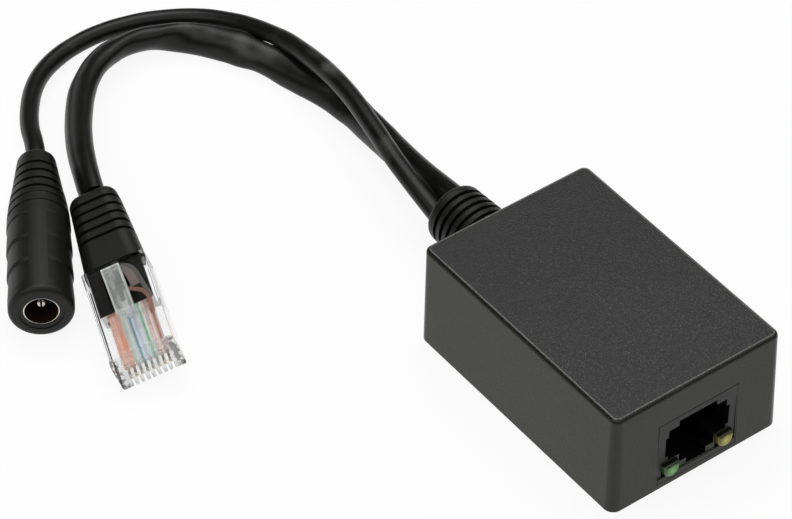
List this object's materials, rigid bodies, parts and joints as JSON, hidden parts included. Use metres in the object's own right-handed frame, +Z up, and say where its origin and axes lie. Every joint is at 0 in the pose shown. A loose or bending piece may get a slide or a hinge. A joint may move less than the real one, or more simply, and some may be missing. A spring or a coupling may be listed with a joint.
{
  "type": "power over ethernet injector",
  "caption": "Small black box with a network socket and status lights, and two short free cords that end in a clear modular plug and an in-line power socket.",
  "frame": {"origin": "middle of the housing's underside", "axes": "+X towards the face with the network socket, +Z up from the underside, -Y the long side seen in the picture"},
  "size_m": [0.1493, 0.0897, 0.0205],
  "materials": {
    "housing": "fine spark texture, black",
    "socket_plastic": "smooth satin black",
    "green_lens": "smooth translucent",
    "yellow_lens": "smooth translucent",
    "jacket": "satin black",
    "moulded_boot": "satin black",
    "clear_plastic": "polished, slightly scuffed",
    "gold_contacts": "bright plated",
    "tinned_leads": "tin plated",
    "nickel": "bright nickel",
    "orange_wire": "solid and white striped",
    "green_wire": "solid and white striped",
    "blue_wire": "solid and white striped",
    "brown_wire": "solid and white striped",
    "grey_wire": "smooth",
    "red_wire": "smooth",
    "board": "green solder mask",
    "component_black": "moulded epoxy",
    "capacitor_film": "shrink film",
    "fuse_yellow": "dipped epoxy",
    "ceramic": "fired ceramic"
  },
  "bodies": {
    "root": {"cover": "housing", "base_plate": "housing", "rj45_jack": "socket_plastic", "jack_insert": "socket_plastic", "led_green": "green_lens", "led_yellow": "yellow_lens", "gland": "jacket", "ethernet_cord": "jacket", "dc_cord": "jacket", "plug_body": "clear_plastic", "plug_contacts": "gold_contacts", "plug_wires_orange": "orange_wire", "plug_wires_green": "green_wire", "plug_wires_blue": "blue_wire", "plug_wires_brown": "brown_wire", "plug_boot": "moulded_boot", "dc_jack_boot": "moulded_boot", "dc_jack_core": "socket_plastic", "dc_jack_sleeve": "nickel", "dc_jack_pin": "nickel", "dc_jack_spring": "nickel", "pcb": "board", "jack_contacts": "gold_contacts", "led_leads": "tinned_leads", "magnetics_module": "component_black", "magnetics_leads": "tinned_leads", "filter_capacitor": "capacitor_film", "capacitor_leads": "tinned_leads", "surge_diode": "component_black", "polyfuse": "fuse_yellow", "chip_resistors": "component_black", "chip_capacitors": "ceramic", "board_wires": "grey_wire", "supply_wires": "red_wire", "solder_joints": "tinned_leads"}
  },
  "joints": []
}
